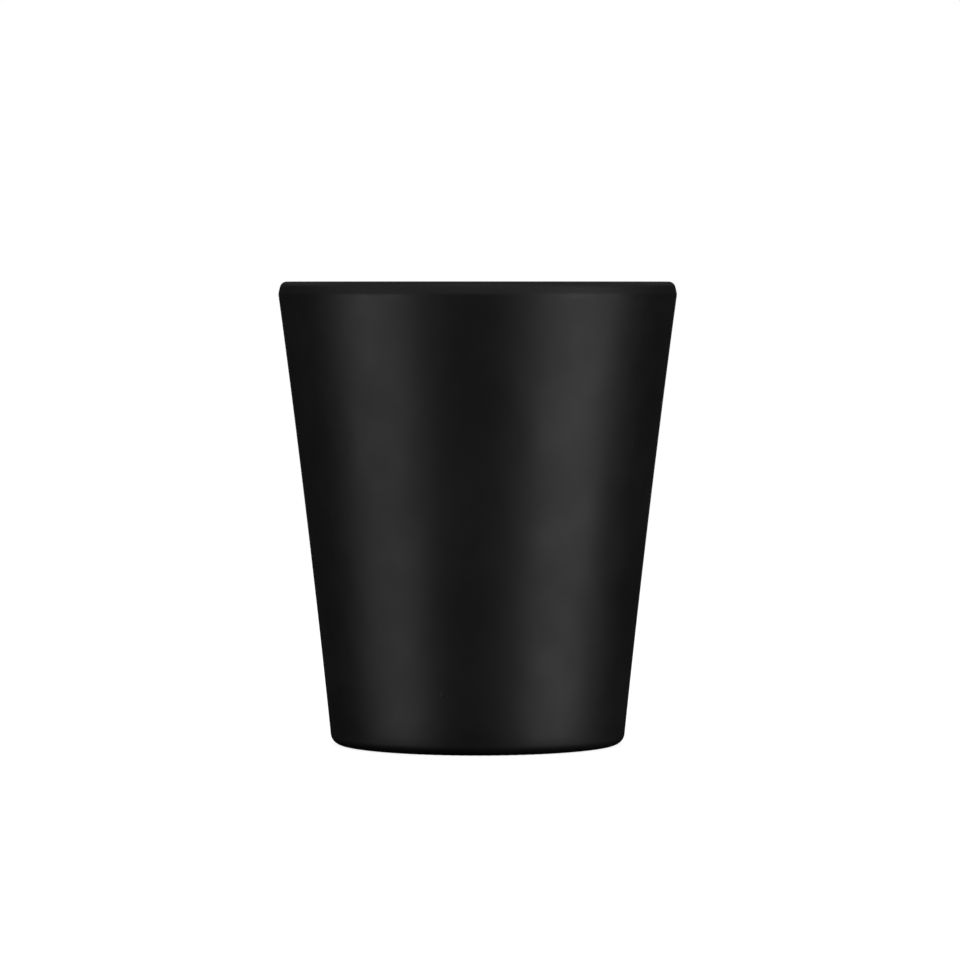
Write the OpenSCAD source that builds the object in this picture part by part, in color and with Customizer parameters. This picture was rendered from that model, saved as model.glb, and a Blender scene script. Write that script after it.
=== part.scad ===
// Empty candle jar: a tapered tumbler of clear pressed glass inside a sprayed coat of black lacquer.
// Millimetres. +Z is up, and the origin is on the jar's axis in the plane it stands on.
// Both solids are turned from one outline, so the coat always fits the glass.

/* [Outside, over the lacquer] */
// Height from the foot to the top of the lip
height = 93; // [70:1:140]
// Diameter at the ridge under the lip, the widest place
rim_d = 80; // [64:0.5:110]
// Diameter at which the line of the side wall meets the table
foot_d = 58.8; // [46:0.2:74]
// How far the side wall dips inwards at half height, from a straight taper
wall_dip = 0.35; // [0:0.05:1]
// Radius of the rounded heel, between side wall and foot
heel_r = 2.2; // [1:0.1:4]
// Width of the flat ring that the jar stands on
foot_ring_w = 2.4; // [1.5:0.1:5]
// Rise of the shallow dome under the base
punt_rise = 1.5; // [0.6:0.1:3]

/* [Lip] */
// Distance from the top of the lip down to the ridge
ridge_drop = 2.6; // [2:0.1:3.2]
// Radius of the ridge
ridge_r = 2.2; // [0.6:0.1:3]
// Inward lean of the band between the ridge and the lip, in degrees
band_lean = 13; // [4:1:13]
// Radius of the lip's outer corner
lip_outer_r = 1.4; // [0.4:0.1:1.4]
// Radius of the lip's inner corner
lip_inner_r = 0.9; // [0.4:0.1:0.9]

/* [Inside of the glass] */
// Thickness of the wall at the ridge, glass and lacquer together
rim_wall = 3.3; // [3:0.1:5]
// Thickness of the wall at the height of the inner floor, glass and lacquer together
base_wall = 3.7; // [2.5:0.1:7]
// Height of the inner floor above the table
floor_z = 9.5; // [6:0.5:16]
// Radius of the rounding between the inner floor and the inner wall
floor_corner_r = 6; // [2:0.5:12]

/* [Lacquer] */
// Thickness of the lacquer coat
coat_t = 0.12; // [0.08:0.02:0.3]
// How far round the lip's inner corner the coat reaches, in degrees from the top of the lip
coat_wrap = 60; // [10:5:75]

/* [Hidden] */
$fn = 96;

// Straight pieces that stand in for a curve
arc_steps = 8;
wall_steps = 14;
dome_steps = 10;

rim_r = rim_d / 2;
foot_r = foot_d / 2;
ridge_z = height - ridge_drop;

// Points on an arc about c, from angle a0 to a1
function arc(c, r, a0, a1, steps) =
    [for (i = [0 : steps]) let (a = a0 + (a1 - a0) * i / steps) c + r * [cos(a), sin(a)]];

function reversed(points) = [for (i = [len(points) - 1 : -1 : 0]) points[i]];

// Side wall over the lacquer: a straight taper with a shallow dip, and its lean from upright
function wall_r(z) =
    let (t = z / ridge_z)
    foot_r + (rim_r - foot_r) * t - 4 * wall_dip * t * (1 - t);
function wall_lean(z) =
    let (t = z / ridge_z)
    atan((rim_r - foot_r - 4 * wall_dip * (1 - 2 * t)) / ridge_z);

// Heel: tangent to the side wall and to the table
heel_lean = wall_lean(0);
heel_top_z = heel_r * (1 - sin(heel_lean));
heel_c = [wall_r(heel_top_z) - heel_r * cos(heel_lean), heel_r];

// Ridge: as wide as rim_d, and tangent to the side wall
ridge_lean = wall_lean(ridge_z);
ridge_c = [rim_r - ridge_r, ridge_z];
wall_top_z = ridge_z - ridge_r * sin(ridge_lean);

// Lip's outer corner: tangent to the top and to the band that leans in from the ridge
lip_outer_z = height - lip_outer_r;
lip_outer_c = [
    ridge_c.x + (sin(band_lean) * (ridge_z - lip_outer_z) + ridge_r - lip_outer_r) / cos(band_lean),
    lip_outer_z
];

// Inner wall: a straight taper between the two wall thicknesses, and its lean from upright
inner_rim_r = rim_r - rim_wall;
inner_floor_r = wall_r(floor_z) - base_wall;
inner_lean = atan((inner_rim_r - inner_floor_r) / (ridge_z - floor_z));

// Lip's inner corner: tangent to the top, and its bare glass is tangent to the inner wall
lip_inner_glass_r = lip_inner_r - coat_t;
lip_inner_z = height - lip_inner_r;
lip_inner_c = [
    inner_rim_r + (lip_inner_glass_r + sin(inner_lean) * (lip_inner_z - ridge_z)) / cos(inner_lean),
    lip_inner_z
];

// Rounding of the inner floor: tangent to the floor and to the inner wall
floor_corner_z = floor_z + floor_corner_r;
floor_corner_c = [
    inner_rim_r - (floor_corner_r + sin(inner_lean) * (ridge_z - floor_corner_z)) / cos(inner_lean),
    floor_corner_z
];

// Dome under the base: a part of a sphere that meets the foot ring
dome_edge_r = heel_c.x - foot_ring_w;
dome_r = (dome_edge_r ^ 2 + punt_rise ^ 2) / (2 * punt_rise);
dome_c = [0, punt_rise - dome_r];

// The dome's outline from the axis to the foot ring, at a depth under the lacquer's surface
function dome_outline(depth) =
    let (
        r = dome_r + depth,
        edge = acos((depth - dome_c.y) / r)
    )
    arc(dome_c, r, 90, 90 - edge, dome_steps);

// The side wall's outline from the heel to the ridge, at a depth under the lacquer's surface
function wall_outline(depth) =
    [for (i = [1 : wall_steps - 1])
        let (
            z = heel_top_z + (wall_top_z - heel_top_z) * i / wall_steps,
            lean = wall_lean(z)
        )
        [wall_r(z) - depth * cos(lean), z + depth * sin(lean)]];

// The whole lacquered outline, from the axis under the base to the coat's end inside the lip
function coated_outline(depth) = concat(
    dome_outline(depth),
    arc(heel_c, heel_r - depth, -90, -heel_lean, arc_steps),
    wall_outline(depth),
    arc(ridge_c, ridge_r - depth, -ridge_lean, band_lean, arc_steps),
    arc(lip_outer_c, lip_outer_r - depth, band_lean, 90, arc_steps),
    arc(lip_inner_c, lip_inner_r - depth, 90, 90 + coat_wrap, arc_steps)
);

// The bare glass inside, from the coat's end to the middle of the floor
function bare_outline() = concat(
    arc(lip_inner_c, lip_inner_glass_r, 90 + coat_wrap, 180 - inner_lean, arc_steps),
    arc(floor_corner_c, floor_corner_r, -inner_lean, -90, arc_steps),
    [[0, floor_z]]
);

// Clear glass tumbler with a thick base, a shallow dome under it and a moulded lip
module glass_tumbler() {
    // The first bare point is the last one under the coat
    bare = bare_outline();
    color([0.78, 0.84, 0.83, 0.5])
        rotate_extrude()
            polygon(concat(coated_outline(coat_t), [for (i = [1 : len(bare) - 1]) bare[i]]));
}

// Black lacquer over the outside of the glass, the foot, the dome under it and the lip
module black_lacquer() {
    color([0.09, 0.09, 0.09])
        rotate_extrude()
            polygon(concat(coated_outline(0), reversed(coated_outline(coat_t))));
}

glass_tumbler();
black_lacquer();
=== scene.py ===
# %% [markdown]
# # An empty candle jar
# A candle maker buys this jar empty, fixes a wick to its floor and fills it with wax.
# It is a tumbler of pressed glass with a thick base, and a satin-matte black lacquer is sprayed
# over its outside, its foot and its lip. The inside stays bare glass, so it looks like deep black
# water.
#
# A jar is a turned shape, so every piece here starts as a small disc whose edge is extruded from
# ring to ring, as a potter pulls up a wall. The rings' sizes are measured on the fixed frame.

import math

import bmesh
import bpy
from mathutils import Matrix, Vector
from mathutils.bvhtree import BVHTree


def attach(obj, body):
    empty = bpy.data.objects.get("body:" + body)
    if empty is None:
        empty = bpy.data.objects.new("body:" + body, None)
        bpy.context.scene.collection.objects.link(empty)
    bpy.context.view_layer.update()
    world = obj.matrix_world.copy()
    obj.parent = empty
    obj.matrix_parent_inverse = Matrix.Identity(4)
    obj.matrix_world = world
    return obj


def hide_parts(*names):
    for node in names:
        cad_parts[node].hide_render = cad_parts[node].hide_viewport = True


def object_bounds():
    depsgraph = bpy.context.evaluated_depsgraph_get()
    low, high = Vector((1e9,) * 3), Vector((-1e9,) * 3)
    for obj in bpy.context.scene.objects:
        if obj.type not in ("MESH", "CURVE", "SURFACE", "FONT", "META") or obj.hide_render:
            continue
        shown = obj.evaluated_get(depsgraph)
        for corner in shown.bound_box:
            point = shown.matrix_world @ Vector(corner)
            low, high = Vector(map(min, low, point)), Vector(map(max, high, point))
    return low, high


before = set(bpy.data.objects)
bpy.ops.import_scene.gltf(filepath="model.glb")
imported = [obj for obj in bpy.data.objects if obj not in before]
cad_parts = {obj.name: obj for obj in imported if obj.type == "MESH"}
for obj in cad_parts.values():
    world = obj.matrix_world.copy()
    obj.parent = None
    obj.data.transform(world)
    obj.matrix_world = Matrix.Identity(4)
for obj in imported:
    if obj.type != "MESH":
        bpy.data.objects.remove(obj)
cad_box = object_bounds()
print("frame box in mm:", [[round(v * 1000, 2) for v in corner] for corner in cad_box])

# %% [markdown]
# ## Measuring the frame
# A caliper measures a jar from outside, from inside, from under and from above. A ray does the
# same here: it is sent towards the wall, and where it lands is a size. The rays run a hair beside
# the X axis, because a ray along a seam between triangles can slip through it.

# %% Calipers
MM = 0.001
coat_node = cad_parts["black_lacquer"]
glass_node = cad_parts["glass_tumbler"]
REACH = 200 * MM
BESIDE = 0.002 * MM
NEAR_AXIS = 0.3 * MM
SAME_HEIGHT = 0.001 * MM


def tree_of(node):
    """A search tree of a node's triangles, which rays can be sent at."""
    return BVHTree.FromPolygons(
        [v.co for v in node.data.vertices],
        [tuple(p.vertices) for p in node.data.polygons],
    )


trees = {node.name: tree_of(node) for node in (coat_node, glass_node)}


def outside_radius(node, height):
    """The radius of a node's outer wall at a height."""
    hit = trees[node.name].ray_cast(Vector((REACH, BESIDE, height)), Vector((-1, 0, 0)))
    return hit[0].x


def inside_radius(node, height):
    """The radius of a node's inner wall at a height."""
    hit = trees[node.name].ray_cast(Vector((0, BESIDE, height)), Vector((1, 0, 0)))
    return hit[0].x


def height_from_under(node, radius):
    """The height of a node's underside at a radius."""
    hit = trees[node.name].ray_cast(Vector((radius, BESIDE, -REACH)), Vector((0, 0, 1)))
    return hit[0].z


def height_from_above(node, radius):
    """The height of a node's upper side at a radius."""
    hit = trees[node.name].ray_cast(Vector((radius, BESIDE, REACH)), Vector((0, 0, -1)))
    return hit[0].z


def flat_ring(node, height):
    """The inner and outer radius of a node's flat ring at a height."""
    radii = [
        math.hypot(v.co.x, v.co.y)
        for v in node.data.vertices
        if abs(v.co.z - height) < SAME_HEIGHT
    ]
    return min(radii), max(radii)


jar_height = cad_box[1].z
glass_under = height_from_under(glass_node, NEAR_AXIS)
coat_thickness = glass_under - height_from_under(coat_node, NEAR_AXIS)
foot_inner, foot_outer = flat_ring(coat_node, 0)
land_inner, land_outer = flat_ring(coat_node, jar_height)
floor_height = height_from_above(glass_node, NEAR_AXIS)
floor_radius = flat_ring(glass_node, floor_height)[1]
print(f"height {jar_height / MM:.2f}, coat {coat_thickness / MM:.3f} mm thick")
print(f"foot ring from {foot_inner / MM:.2f} to {foot_outer / MM:.2f} mm from the axis")
print(f"lip's top from {land_inner / MM:.2f} to {land_outer / MM:.2f} mm from the axis")
print(f"inner floor at {floor_height / MM:.2f} mm, flat to {floor_radius / MM:.2f} mm")

# %% [markdown]
# ## Rings
# The outside of glass and coat is one family of rings, so both pieces take them from one function.
# From the middle of the underside the rings run outwards over the shallow dome, over the flat foot
# ring, round the heel, up the wall, round the ridge that the mould's neck ring leaves, and over
# the lip. Round stretches are arcs. Straight and hollow ones are measured.

# %% Rings of the outside
HEEL_ROUND = 2.2 * MM
RIDGE_ROUND = 2.2 * MM
LIP_OUTER_ROUND = 1.4 * MM
LIP_INNER_ROUND = 0.9 * MM
BAND_LEAN = 13
KNURL = 0.1 * MM
BANDS = 3
DOME_START = 1 * MM
VALVE_MARK = 16 * MM
VALVE_RINGS = ((-0.3, 0), (-0.12, 0.05), (0.12, 0.05), (0.3, 0))
RIDGE_SEARCH = 0.05 * MM
DOME_STEPS = 10
HEEL_STEPS = 9
WALL_STEPS = 18
RIDGE_STEPS = 6
LIP_STEPS = 10


def arc(centre, radius, start, end, steps):
    """Rings on an arc about a centre (radius, height), between two angles in degrees."""
    return [
        (
            centre[0] + radius * math.cos(math.radians(start + (end - start) * i / steps)),
            centre[1] + radius * math.sin(math.radians(start + (end - start) * i / steps)),
        )
        for i in range(steps + 1)
    ]


def lean_between(node, low, high):
    """How far a node's outer wall leans out between two heights, in degrees."""
    run = outside_radius(node, high) - outside_radius(node, low)
    return math.degrees(math.atan(run / (high - low)))


ridge_height = max(
    (i * RIDGE_SEARCH for i in range(int(jar_height / RIDGE_SEARCH))),
    key=lambda height: outside_radius(coat_node, height),
)
heel_lean = lean_between(coat_node, 4 * MM, 8 * MM)
ridge_lean = lean_between(coat_node, ridge_height - 5 * MM, ridge_height - 1 * MM)
print(f"ridge at {ridge_height / MM:.2f} mm; wall leans {heel_lean:.2f} to {ridge_lean:.2f} degrees")


def outside_rings(depth):
    """The rings of the jar's outside at a depth under the lacquer, from the axis to the lip."""
    node = glass_node if depth else coat_node
    dome_edge = foot_inner - DOME_START
    dome = [(dome_edge * i / DOME_STEPS, 0) for i in range(1, DOME_STEPS + 1)]
    mark = [(VALVE_MARK + side * MM, drop * MM) for side, drop in VALVE_RINGS]
    dome = [(radius, height_from_under(node, radius) - drop) for radius, drop in sorted(dome + mark)]
    foot_width = foot_outer - foot_inner
    foot = [(foot_inner + foot_width * i / BANDS, depth + KNURL) for i in range(BANDS + 1)]
    heel_round = HEEL_ROUND - depth
    heel_start = -math.degrees(math.asin(1 - KNURL / heel_round))
    heel = arc((foot_outer, HEEL_ROUND), heel_round, heel_start, -heel_lean, HEEL_STEPS)
    wall_low = HEEL_ROUND * (1 - math.sin(math.radians(heel_lean)))
    wall_high = ridge_height - RIDGE_ROUND * math.sin(math.radians(ridge_lean))
    wall_run = wall_high - wall_low
    wall_heights = [wall_low + wall_run * i / WALL_STEPS for i in range(1, WALL_STEPS)]
    wall = [(outside_radius(node, height), height) for height in wall_heights]
    ridge_centre = (outside_radius(coat_node, ridge_height) - RIDGE_ROUND, ridge_height)
    ridge = arc(ridge_centre, RIDGE_ROUND - depth, -ridge_lean, BAND_LEAN, RIDGE_STEPS)
    lip_centre = (land_outer, jar_height - LIP_OUTER_ROUND)
    lip = arc(lip_centre, LIP_OUTER_ROUND - depth, BAND_LEAN, 90, LIP_STEPS)
    return dome + foot + heel + wall + ridge + lip


print(len(outside_rings(0)), "rings on the outside")

# %% [markdown]
# ## Pulling up a shape
# A disc is added at the first ring, its edge is extruded to the next ring and scaled to its
# radius, and so on. Extruding in edit mode keeps every ring a clean loop, which Blender's spin
# could do too, but this way each ring can be caught and changed while it is made.

# %% Turned shapes
AROUND = 192
MERGE = 0.0002 * MM
SMOOTH_UNDER = math.radians(50)


def turned(name, rings, close_end=False):
    """A shape of rings round the Z axis, each a radius and a height, with its first pole closed."""
    bpy.ops.object.select_all(action="DESELECT")
    bpy.ops.mesh.primitive_circle_add(
        vertices=AROUND, radius=rings[0][0], fill_type="TRIFAN", location=(0, 0, rings[0][1])
    )
    bpy.ops.object.transform_apply(location=True)
    piece = bpy.context.object
    piece.name = piece.data.name = name
    bpy.ops.object.mode_set(mode="EDIT")
    bpy.ops.mesh.select_mode(type="EDGE")
    bpy.ops.mesh.region_to_loop()
    for (radius, height), (next_radius, next_height) in zip(rings, rings[1:]):
        bpy.ops.mesh.extrude_region_move(
            TRANSFORM_OT_translate={"value": (0, 0, next_height - height)}
        )
        share = next_radius / radius
        bpy.ops.transform.resize(value=(share, share, 1), center_override=(0, 0, next_height))
    if close_end:
        bpy.ops.mesh.merge(type="CENTER")
    bpy.ops.object.mode_set(mode="OBJECT")
    return piece


def closed_outwards(piece):
    """Merges doubled points and turns every face outwards."""
    bpy.ops.object.mode_set(mode="EDIT")
    bpy.ops.mesh.select_all(action="SELECT")
    bpy.ops.mesh.remove_doubles(threshold=MERGE)
    bpy.ops.mesh.normals_make_consistent(inside=False)
    bpy.ops.object.mode_set(mode="OBJECT")


def report(piece):
    """Prints a piece's size, and whether its mesh is closed."""
    mesh = bmesh.new()
    mesh.from_mesh(piece.data)
    open_edges = sum(1 for e in mesh.edges if len(e.link_faces) != 2)
    volume = mesh.calc_volume(signed=True) / MM**3
    print(f"{piece.name}: {len(mesh.faces)} faces, {open_edges} open edges, {volume:.0f} mm3")
    mesh.free()


# %% [markdown]
# ## The black lacquer
# The lacquer is a film over the glass: it wraps the underside, the foot, the wall and the lip, and
# ends a little way down inside the mouth, where it thins out on the glass. So the outer surface is
# pulled up first, and a Solidify modifier gives it its thickness inwards. It reaches a hair into
# the glass, so that no air shows between the two.

# %% Lacquer, outer surface
WRAP_FULL = 45
WRAP_END = 66
WRAP_STEPS = 14
SINK = 0.02 * MM

lip_inner_centre = (land_inner, jar_height - LIP_INNER_ROUND)


def thinning(angle):
    """How thick the coat still is at an angle past the lip's top, from 1 down to 0."""
    t = min(1, max(0, (angle - 90 - WRAP_FULL) / (WRAP_END - WRAP_FULL)))
    return 1 - t * t * (3 - 2 * t)


coat_end = [
    arc(
        lip_inner_centre,
        LIP_INNER_ROUND - (coat_thickness + SINK / 2) * (1 - thinning(angle)),
        angle,
        angle,
        1,
    )[0]
    for angle in (90 + WRAP_END * i / WRAP_STEPS for i in range(WRAP_STEPS + 1))
]
lacquer = turned("lacquer_coat", outside_rings(0) + coat_end)
closed_outwards(lacquer)
print("coat's edge at", [round(v / MM, 3) for v in coat_end[-1]])

# %% [markdown]
# ## Knurling under the foot
# Hot glass that touches a cold belt cracks, so the mould gives the foot ring rows of small bumps,
# and the jar stands on those. The lacquer follows them. Every second face of the ring is inset by
# itself and pushed down, which is quicker than modelling a bump and copying it some hundreds of
# times.

# %% Knurled foot
BUMP_SLOPE = 0.2 * MM


def knurl(piece, height):
    """Pushes every second face of the foot ring, which lies at a height, down into a bump."""
    bpy.ops.object.mode_set(mode="EDIT")
    bpy.ops.mesh.select_mode(type="FACE")
    bpy.ops.mesh.select_all(action="DESELECT")
    mesh = bmesh.from_edit_mesh(piece.data)
    band_width = (foot_outer - foot_inner) / BANDS
    count = 0
    for face in mesh.faces:
        centre = face.calc_center_median()
        radius = math.hypot(centre.x, centre.y)
        if abs(centre.z - height) > SAME_HEIGHT or not foot_inner < radius < foot_outer:
            continue
        step = math.floor(math.atan2(centre.y, centre.x) / math.tau * AROUND)
        band = int((radius - foot_inner) / band_width)
        if (step + band) % 2 == 0:
            face.select_set(True)
            count += 1
    bmesh.update_edit_mesh(piece.data)
    bpy.ops.mesh.inset(thickness=BUMP_SLOPE, use_individual=True)
    bpy.ops.transform.translate(value=(0, 0, -KNURL))
    bpy.ops.object.mode_set(mode="OBJECT")
    print(f"{piece.name}: {count} bumps under the foot")


knurl(lacquer, KNURL)

# %% [markdown]
# ## The thickness of the film
# A sprayed film follows whatever is under it at an even depth. Solidify with even offset does the
# same: it copies the outer surface inwards and joins the two at the film's edge in the mouth.

# %% Lacquer, thickness
bpy.ops.object.modifier_add(type="SOLIDIFY")
film = lacquer.modifiers[-1]
film.thickness = coat_thickness + SINK
film.offset = -1
film.use_even_offset = True
film.use_quality_normals = True
bpy.ops.object.modifier_apply(modifier=film.name)
bpy.ops.object.shade_smooth_by_angle(angle=SMOOTH_UNDER)
report(lacquer)

# %% [markdown]
# ## The glass
# A plunger presses the inside of the tumbler: a straight taper down to a thick base, with a wide
# round into the flat floor. The outside is the same family of rings as the lacquer's, one coat
# thickness deeper.

# %% Glass tumbler
FLOOR_ROUND = 6 * MM
FLOOR_SHARES = (0.85, 0.65, 0.45, 0.25, 0.1, 0.03)
BORE_STEPS = 14

inner_low, inner_high = floor_height + 10 * MM, ridge_height - 5 * MM
inner_run = inside_radius(glass_node, inner_high) - inside_radius(glass_node, inner_low)
inner_lean = math.degrees(math.atan(inner_run / (inner_high - inner_low)))
bare_lip_round = LIP_INNER_ROUND - coat_thickness
bare_lip = arc(lip_inner_centre, bare_lip_round, 90, 180 - inner_lean, LIP_STEPS)
floor_centre = (floor_radius, floor_height + FLOOR_ROUND)
floor_corner = arc(floor_centre, FLOOR_ROUND, -inner_lean, -90, BORE_STEPS)
bore_top, bore_bottom = bare_lip[-1][1], floor_corner[0][1]
bore_run = bore_bottom - bore_top
bore_heights = [bore_top + bore_run * i / BORE_STEPS for i in range(1, BORE_STEPS)]
bore = [(inside_radius(glass_node, height), height) for height in bore_heights]
floor = [(floor_radius * share, floor_height) for share in FLOOR_SHARES]

glass = turned(
    "glass_body", outside_rings(coat_thickness) + bare_lip + bore + floor_corner + floor, True
)
closed_outwards(glass)
knurl(glass, coat_thickness + KNURL)
bpy.ops.object.shade_smooth_by_angle(angle=SMOOTH_UNDER)
report(glass)
print(f"the bore leans {inner_lean:.2f} degrees")

# %% [markdown]
# ## Material: satin-matte lacquer
# The finish of a sprayed and baked lacquer isn't flat black. It has a broad soft gloss, a faint
# orange peel from the drops that ran together, a fine grain from the matting powder in it, and here
# and there a grain of dust under the film. Pressed glass isn't quite even either, and its broad
# waves show in the streaks of light. Where jars touch each other and the table, at the ridge and
# the foot, the lacquer is burnished a little smoother and greyer. Just above the foot the gun only
# grazes the wall, and the spray lands half dry and duller. All of it is worked out from the place
# on the jar, in its own metres, so nothing needs unwrapping.

# %% Helpers for materials


def new_material(name):
    """A material, its Principled shader and a function that adds a linked node to it."""
    material = bpy.data.materials.new(name)
    material.use_nodes = True
    tree = material.node_tree
    shader = tree.nodes["Principled BSDF"]

    def node(kind, inputs=None, **settings):
        """Adds a node, sets its properties, and sets or links its inputs by name or number."""
        made = tree.nodes.new(kind)
        for key, value in settings.items():
            setattr(made, key, value)
        for key, value in (inputs or {}).items():
            if isinstance(value, bpy.types.NodeSocket):
                tree.links.new(value, made.inputs[key])
            else:
                made.inputs[key].default_value = value
        return made

    return material, shader, node, tree.links


# %% Lacquer, colour and gloss
LACQUER_BLACK = 0.007
LACQUER_ROUGHNESS = 0.46
UNEVEN = 0.035
BURNISHED_ROUGHNESS = 0.4
RUB_BELOW_RIDGE = 0.2 * MM
DRY_SPRAY_LOW = 0.6 * MM
DRY_SPRAY_HIGH = 4 * MM
DRY_SPRAY_ROUGHNESS = 0.12

lacquer_material, shader, node, links = new_material("satin_black_lacquer")
place = node("ShaderNodeTexCoord").outputs["Object"]


def noise(scale, detail=2, roughness=0.5):
    """A noise in the piece's own metres, from 0 to 1."""
    inputs = {"Vector": place, "Scale": scale, "Detail": detail, "Roughness": roughness}
    return node("ShaderNodeTexNoise", inputs).outputs["Fac"]


def spread(value, low, high, to_low, to_high):
    """Maps a value from low..high to to_low..to_high, and stops at both ends."""
    inputs = {"Value": value, "From Min": low, "From Max": high, "To Min": to_low, "To Max": to_high}
    return node("ShaderNodeMapRange", inputs, interpolation_type="SMOOTHSTEP").outputs["Result"]


def math_of(operation, first, second):
    """The result of a Math node."""
    return node("ShaderNodeMath", {0: first, 1: second}, operation=operation).outputs["Value"]


clouds = noise(scale=45, detail=4)
black = spread(clouds, 0.3, 0.7, LACQUER_BLACK * 0.8, LACQUER_BLACK * 1.2)

height = node("ShaderNodeSeparateXYZ", {"Vector": place}).outputs["Z"]
from_ridge = math_of("ABSOLUTE", math_of("SUBTRACT", height, ridge_height - RUB_BELOW_RIDGE), 0)
near_ridge = spread(from_ridge, 0.1 * MM, 0.6 * MM, 1, 0)
near_foot = spread(height, 0.05 * MM, 0.5 * MM, 1, 0)
touched = math_of("MAXIMUM", near_ridge, near_foot)
rubbed = math_of("MULTIPLY", touched, spread(noise(scale=260, detail=3), 0.42, 0.68, 0, 1))
patches = noise(scale=75, detail=4, roughness=0.6)
uneven = spread(patches, 0.3, 0.7, LACQUER_ROUGHNESS - UNEVEN, LACQUER_ROUGHNESS + UNEVEN)
smoother = math_of("MULTIPLY", rubbed, BURNISHED_ROUGHNESS - LACQUER_ROUGHNESS)
dry_spray = spread(height, DRY_SPRAY_LOW, DRY_SPRAY_HIGH, DRY_SPRAY_ROUGHNESS, 0)
rough = math_of("ADD", math_of("ADD", uneven, smoother), dry_spray)
links.new(rough, shader.inputs["Roughness"])
tone = math_of("MULTIPLY", black, spread(rubbed, 0, 1, 1, 1.3))
grey = node("ShaderNodeCombineColor", {k: tone for k in ("Red", "Green", "Blue")})
links.new(grey.outputs["Color"], shader.inputs["Base Color"])
shader.inputs["IOR"].default_value = 1.5
print("lacquer: black", LACQUER_BLACK, "roughness", LACQUER_ROUGHNESS)

# %% [markdown]
# ## Relief in the lacquer
# Four reliefs lie over each other, from waves a centimetre long that bend the streaks to the grain
# of the powder, which only softens them. They are Bump nodes in a row, because displaced faces this
# fine would need millions of triangles.

# %% Lacquer, relief
NIB_CELLS = 130
NIB_SIZE = 0.045
NIB_SHARE = 0.12
WAVE_DEEP = 0.16 * MM
PEEL_DEEP = 0.006 * MM
MATTING_DEEP = 0.003 * MM
NIB_DEEP = 0.04 * MM


def bumped(height_value, distance, under=None):
    """A Bump node's normal over another, for a relief of a given depth."""
    inputs = {"Height": height_value, "Distance": distance, "Strength": 1}
    if under:
        inputs["Normal"] = under
    return node("ShaderNodeBump", inputs).outputs["Normal"]


cells = node("ShaderNodeTexVoronoi", {"Vector": place, "Scale": NIB_CELLS})
dot = spread(cells.outputs["Distance"], NIB_SIZE * 0.4, NIB_SIZE * 2, 1, 0)
luck = node("ShaderNodeSeparateColor", {"Color": cells.outputs["Color"]}).outputs["Red"]
nibs = math_of("MULTIPLY", dot, math_of("LESS_THAN", luck, NIB_SHARE))
waviness = bumped(noise(scale=95, detail=1), WAVE_DEEP)
orange_peel = bumped(noise(scale=620, detail=2, roughness=0.4), PEEL_DEEP, waviness)
matting = bumped(noise(scale=4200, detail=1), MATTING_DEEP, orange_peel)
dusted = bumped(nibs, NIB_DEEP, matting)
links.new(dusted, shader.inputs["Normal"])
lacquer.data.materials.append(lacquer_material)
print("relief of four sizes: waves, peel, matting powder and dust")

# %% [markdown]
# ## Material: the lacquer's inner side
# Where the wet lacquer touched the glass it has no skin of its own, so nothing shines there: what
# is seen through the glass is only the pigment, a touch greyer than the outside. A second material
# on the film's inner faces shows that, and they are found by which way they face.

# %% Inner side of the lacquer
PIGMENT = 0.022

pigment_material, shader, node, links = new_material("lacquer_against_glass")
place = node("ShaderNodeTexCoord").outputs["Object"]
pigment = spread(noise(scale=130, detail=4, roughness=0.6), 0.3, 0.7, PIGMENT * 0.8, PIGMENT * 1.2)
grey = node("ShaderNodeCombineColor", {k: pigment for k in ("Red", "Green", "Blue")})
links.new(grey.outputs["Color"], shader.inputs["Base Color"])
links.new(spread(noise(scale=600, detail=2), 0.3, 0.7, 0.6, 0.75), shader.inputs["Roughness"])
shader.inputs["Specular IOR Level"].default_value = 0.05
lacquer.data.materials.append(pigment_material)


def faces_glass(face):
    """Whether a face of the film looks inwards or up, against the glass."""
    middle, normal = face.center, face.normal
    outwards = normal.x * middle.x + normal.y * middle.y
    if middle.z > ridge_height:
        wall_middle = (land_inner + land_outer) / 2
        out = Vector((middle.x, middle.y, 0)).normalized()
        core = out * wall_middle + Vector((0, 0, ridge_height))
        return normal.dot(core - middle) > 0
    if middle.z < HEEL_ROUND:
        return normal.z > 0 if math.hypot(middle.x, middle.y) < foot_outer else outwards < 0
    return outwards < 0


for face in lacquer.data.polygons:
    face.material_index = int(faces_glass(face))
inner_count = sum(face.material_index for face in lacquer.data.polygons)
print(inner_count, "faces lie against the glass, of", len(lacquer.data.polygons))

# %% [markdown]
# ## Material: pressed glass
# Clear soda-lime glass with a faint green-grey tint. Its inner wall is fire-polished but not quite
# even, which shows as a slight waviness in what it mirrors, and an empty jar has some haze of dust.
# Just inside the mouth the spray gun leaves a mist of fine drops that thins out downwards. Haze and
# mist are noises that change how rough the glass is, and Bump nodes add the waviness and the drops'
# faint relief.

# %% Glass material
MIST_DEEP = 7 * MM
MIST_ROUGHNESS = 0.3
MIST_RELIEF = 0.004 * MM
PLUNGER_RELIEF = 0.08 * MM

glass_material, shader, node, links = new_material("clear_pressed_glass")
place = node("ShaderNodeTexCoord").outputs["Object"]
shader.inputs["Base Color"].default_value = (0.93, 0.965, 0.955, 1)
shader.inputs["Transmission Weight"].default_value = 1
shader.inputs["IOR"].default_value = 1.52

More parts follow.
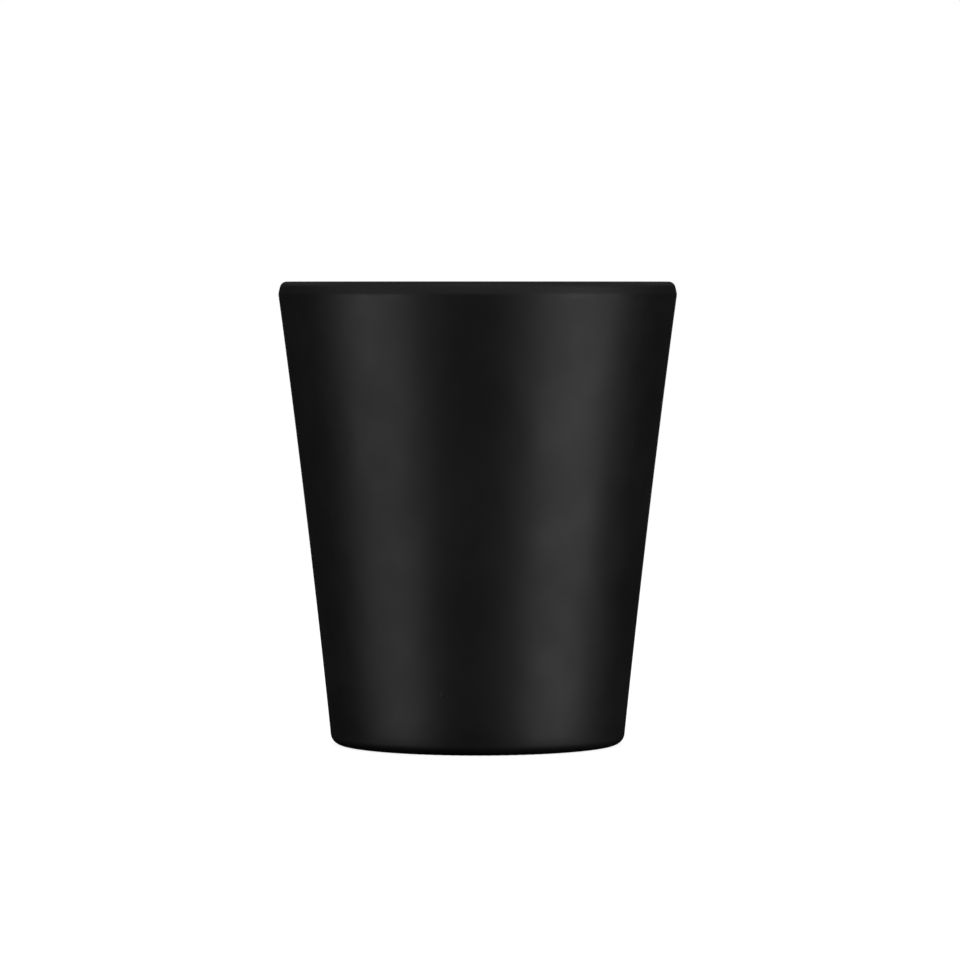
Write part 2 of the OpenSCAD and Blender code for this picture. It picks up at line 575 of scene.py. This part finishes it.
height = node("ShaderNodeSeparateXYZ", {"Vector": place}).outputs["Z"]
haze = spread(noise(scale=70, detail=5, roughness=0.65), 0.42, 0.75, 0.02, 0.11)
near_lip = spread(height, jar_height - MIST_DEEP, jar_height - LIP_INNER_ROUND, 0, 1)
drops = math_of("ADD", noise(scale=4500, detail=2), math_of("MULTIPLY", near_lip, 0.35))
mist = math_of("MULTIPLY", spread(drops, 0.5, 0.9, 0, 1), near_lip)
rough = math_of("ADD", haze, math_of("MULTIPLY", mist, MIST_ROUGHNESS))
links.new(rough, shader.inputs["Roughness"])

plunger_marks = bumped(noise(scale=48, detail=1), PLUNGER_RELIEF)
links.new(bumped(mist, MIST_RELIEF, plunger_marks), shader.inputs["Normal"])
glass.data.materials.append(glass_material)
print(f"glass: overspray mist down to {MIST_DEEP / MM:.0f} mm below the lip")

# %% [markdown]
# ## The studio: floor
# The jar stands on a pale floor that fades out into a white surround, so no horizon shows. A glossy
# black thing shows what it mirrors and hardly what falls on it, so a studio keeps white away from it
# with black card. Here the floor is seen by the camera only: the gloss doesn't mirror it, and it
# casts nothing. From under it is clear, so that the foot can be looked at.

# %% Floor
FLOOR_DISC = 900 * MM
FLOOR_GLOW = 0.9
FLOOR_GREY = 0.35
FLOOR_DROP = 0.05 * MM
STAGE_SIDES = 128
FADE_FROM = 250 * MM
bpy.ops.object.select_all(action="DESELECT")
bpy.ops.mesh.primitive_circle_add(
    vertices=STAGE_SIDES, radius=FLOOR_DISC, fill_type="NGON", location=(0, 0, -FLOOR_DROP)
)
studio_floor = bpy.context.object
studio_floor.name = "studio_floor"
studio_floor.visible_glossy = False
studio_floor.visible_shadow = False
studio_floor.visible_diffuse = False

floor_material, shader, node, links = new_material("pale_floor")
shader.inputs["Base Color"].default_value = (FLOOR_GREY, FLOOR_GREY, FLOOR_GREY, 1)
shader.inputs["Roughness"].default_value = 0.9
shader.inputs["Specular IOR Level"].default_value = 0
shader.inputs["Emission Color"].default_value = (1, 1, 1, 1)
seen = node("ShaderNodeLightPath").outputs["Is Camera Ray"]
glow = node("ShaderNodeMath", {0: seen, 1: FLOOR_GLOW}, operation="MULTIPLY")
links.new(glow.outputs["Value"], shader.inputs["Emission Strength"])
place = node("ShaderNodeTexCoord").outputs["Object"]
away = node("ShaderNodeVectorMath", {0: place}, operation="LENGTH")
fade = node(
    "ShaderNodeMapRange",
    {"Value": away.outputs["Value"], "From Min": FADE_FROM, "From Max": FLOOR_DISC * 0.95},
    interpolation_type="SMOOTHSTEP",
)
under = node("ShaderNodeNewGeometry").outputs["Backfacing"]
open_air = node("ShaderNodeMath", {0: fade.outputs["Result"], 1: under}, operation="MAXIMUM")
clear = node("ShaderNodeBsdfTransparent")
blend = node("ShaderNodeMixShader", {0: open_air.outputs["Value"], 1: shader.outputs["BSDF"]})
links.new(clear.outputs["BSDF"], blend.inputs[2])
links.new(blend.outputs["Shader"], floor_material.node_tree.nodes["Material Output"].inputs["Surface"])
studio_floor.data.materials.append(floor_material)

# %% [markdown]
# ## The studio: painted contact shade
# Round the foot the table lies in the jar's own shade. The lowest few millimetres of the wall
# mirror just that place, and so the streaks fade out above the heel. A black ring on the table that
# only the gloss and the lights notice paints this shade in. It lies a hair under the floor, so it
# throws nothing on it, and it is open under the foot.

# %% Painted contact shade
# painted shade: the ring is fully black out to this distance past the foot
PAINTED_SHADE_FULL = 3 * MM
CONTACT_WIDE = 14 * MM
CONTACT_DROP = 0.06 * MM
bpy.ops.object.select_all(action="DESELECT")
bpy.ops.mesh.primitive_circle_add(
    vertices=STAGE_SIDES,
    radius=foot_outer + CONTACT_WIDE,
    fill_type="NGON",
    location=(0, 0, -CONTACT_DROP),
)
contact = bpy.context.object
contact.name = "painted_contact_shade"
contact.visible_camera = False
contact.visible_diffuse = False
contact.visible_transmission = False

contact_material, shader, node, links = new_material("painted_shade_ring")
contact_material.node_tree.nodes.remove(shader)
place = node("ShaderNodeTexCoord").outputs["Object"]
away = node("ShaderNodeVectorMath", {0: place}, operation="LENGTH").outputs["Value"]
# painted shade: black close to the foot, fading to clear farther out
nearness = spread(away, foot_outer + PAINTED_SHADE_FULL, foot_outer + CONTACT_WIDE, 1, 0)
dark = math_of("MULTIPLY", nearness, math_of("GREATER_THAN", away, foot_outer))
clear = node("ShaderNodeBsdfTransparent").outputs["BSDF"]
black = node("ShaderNodeBsdfDiffuse", {"Color": (0, 0, 0, 1)}).outputs["BSDF"]
blend = node("ShaderNodeMixShader", {0: dark, 1: clear, 2: black}).outputs["Shader"]
links.new(blend, contact_material.node_tree.nodes["Material Output"].inputs["Surface"])
contact.data.materials.append(contact_material)
print(f"dark to {CONTACT_WIDE / MM:.0f} mm round the foot")

# %% [markdown]
# ## The studio: surround
# The camera sees plain white all round. The gloss sees a dark room instead, with two pale parts: the
# walls above the height of a table, which light the band and the lip, and a dim stretch far below.
# That stretch shows the underside when the jar is seen from below, and on the camera's side, where
# it is dimmer, the wall when the jar is seen from above. Rays that have come through the glass find
# the same room brighter, or the bare inside would drown in the black film behind it.

# %% Surround
ROOM_GLOSS = 0.006
TABLE_GLOSS = 0.24
FRONT_SHARE = 0.75
THROUGH_GLASS = 8
WALLS_GLOSS = 0.42
BACK_SHARE = 0.35

world = bpy.data.worlds.new("studio_surround")
bpy.context.scene.world = world
world.use_nodes = True
sky = world.node_tree


def sky_node(kind, inputs=None, **settings):
    """Adds a node to the surround, sets its properties, and sets or links its inputs."""
    made = sky.nodes.new(kind)
    for key, value in settings.items():
        setattr(made, key, value)
    for key, value in (inputs or {}).items():
        if isinstance(value, bpy.types.NodeSocket):
            sky.links.new(value, made.inputs[key])
        else:
            made.inputs[key].default_value = value
    return made.outputs[0]


def sky_spread(value, low, high, to_low, to_high):
    """Maps a value from low..high to to_low..to_high, and stops at both ends."""
    inputs = {"Value": value, "From Min": low, "From Max": high, "To Min": to_low, "To Max": to_high}
    return sky_node("ShaderNodeMapRange", inputs, interpolation_type="SMOOTHSTEP")


direction = sky.nodes.new("ShaderNodeTexCoord").outputs["Generated"]
sky_node("ShaderNodeSeparateXYZ", {"Vector": direction})
axes = sky.nodes[-1].outputs
over_table = sky_spread(axes["Z"], 0.15, 0.5, 0, WALLS_GLOSS)
under_ceiling = sky_spread(axes["Z"], 0.8, 1.0, 1, 0.7)
in_front = sky_spread(axes["Y"], -0.3, 0.5, 1, BACK_SHARE)
walls = sky_node("ShaderNodeMath", {0: over_table, 1: under_ceiling}, operation="MULTIPLY")
walls = sky_node("ShaderNodeMath", {0: walls, 1: in_front}, operation="MULTIPLY")
table = sky_spread(axes["Z"], -0.6, -0.35, TABLE_GLOSS, ROOM_GLOSS)
behind = sky_spread(axes["Y"], -0.3, 0.3, FRONT_SHARE, 1)
table = sky_node("ShaderNodeMath", {0: table, 1: behind}, operation="MULTIPLY")
foot_dark = sky_spread(axes["Z"], -0.95, -0.8, 0.1, 1)
table = sky_node("ShaderNodeMath", {0: table, 1: foot_dark}, operation="MULTIPLY")
gloss = sky_node("ShaderNodeMath", {0: walls, 1: table}, operation="ADD")
path = sky.nodes.new("ShaderNodeLightPath").outputs
brighter = sky_spread(path["Is Transmission Ray"], 0, 1, 1, THROUGH_GLASS)
strength = sky_node("ShaderNodeMath", {0: gloss, 1: brighter}, operation="MULTIPLY")
felt = sky_node("ShaderNodeBackground", {"Strength": strength, "Color": (1, 1, 1, 1)})
seen = sky_node("ShaderNodeBackground", {"Strength": 1.0, "Color": (1, 1, 1, 1)})
either = sky_node("ShaderNodeMixShader", {0: path["Is Camera Ray"], 1: felt, 2: seen})
sky.links.new(either, sky.nodes["World Output"].inputs["Surface"])
bpy.context.scene.view_settings.view_transform = "Standard"

# %% [markdown]
# ## The studio: lights
# The wall leans out, so it mirrors what stands low. Two broad soft boxes beside the camera's line
# therefore stand a little lower than the jar's middle, and draw the two streaks on the wall. A
# narrow one behind is linked to the lacquer alone, and keeps the back from going dead black. The one
# overhead only lights into the mouth, as the gloss doesn't mirror it. A wide canopy is linked to the
# glass alone, and gives its floor something pale to mirror.

# %% Lights


def soft_box(name, azimuth, elevation, distance, width, height, power):
    """A rectangle of light that faces the jar from an azimuth, counted from the camera's side."""
    turn, rise = math.radians(azimuth), math.radians(elevation)
    middle = Vector((0, 0, jar_height / 2))
    away = Vector(
        (math.sin(turn) * math.cos(rise), -math.cos(turn) * math.cos(rise), math.sin(rise))
    )
    bpy.ops.object.light_add(type="AREA", location=middle + away * distance)
    box = bpy.context.object
    box.name = name
    box.rotation_euler = away.to_track_quat("Z", "Y").to_euler()
    box.data.shape = "RECTANGLE"
    box.data.size, box.data.size_y = width, height
    box.data.energy = power
    box.visible_camera = False
    return box


def shine_only_on(box, piece):
    """Links a light to one piece, so that nothing else is lit by it or mirrors it."""
    lit = bpy.data.collections.new("lit_by_" + box.name)
    lit.objects.link(piece)
    box.light_linking.receiver_collection = lit
    print(box.name, "lights only", piece.name)


soft_box("left_box", -60, -6, 700 * MM, 540 * MM, 440 * MM, 0.97)
soft_box("right_box", 59, -3, 700 * MM, 600 * MM, 560 * MM, 1.65)
rear = soft_box("rear_box", 180, -12, 700 * MM, 300 * MM, 500 * MM, 0.9)
shine_only_on(rear, lacquer)
overhead = soft_box("overhead_box", 0, 88, 900 * MM, 900 * MM, 900 * MM, 4)
overhead.visible_glossy = False
canopy = soft_box("canopy", 0, 90, 900 * MM, 2400 * MM, 2400 * MM, 22)
shine_only_on(canopy, glass)

# %% [markdown]
# ## The camera
# A long lens from a metre away, level with the lip and turned a little down, as a catalogue shows a
# vessel: its rim is a straight line and its taper isn't exaggerated.

# %% Camera
CAMERA_AWAY = 1032.5 * MM
CAMERA_HEIGHT = 94 * MM
AIM_HEIGHT = 53.3 * MM
CAMERA_ASIDE = 0.47 * MM
LENS = 192.6

bpy.ops.object.camera_add(location=(CAMERA_ASIDE, -CAMERA_AWAY, CAMERA_HEIGHT))
camera = bpy.context.object
aim = Vector((CAMERA_ASIDE, 0, AIM_HEIGHT)) - camera.location
camera.rotation_euler = aim.to_track_quat("-Z", "Y").to_euler()
camera.data.lens = LENS
camera.data.sensor_width = 36
camera.data.clip_start, camera.data.clip_end = 10 * MM, 20
bpy.context.scene.camera = camera

# %% [markdown]
# ## Handing over
# Each piece rides on the jar's one body and stands for its plain node in the frame.

# %% Tie the pieces to the frame
for piece, stands_for, finish in (
    (lacquer, "black_lacquer", "black_lacquer"),
    (glass, "glass_tumbler", "clear_glass"),
):
    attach(piece, "root")
    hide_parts(stands_for)
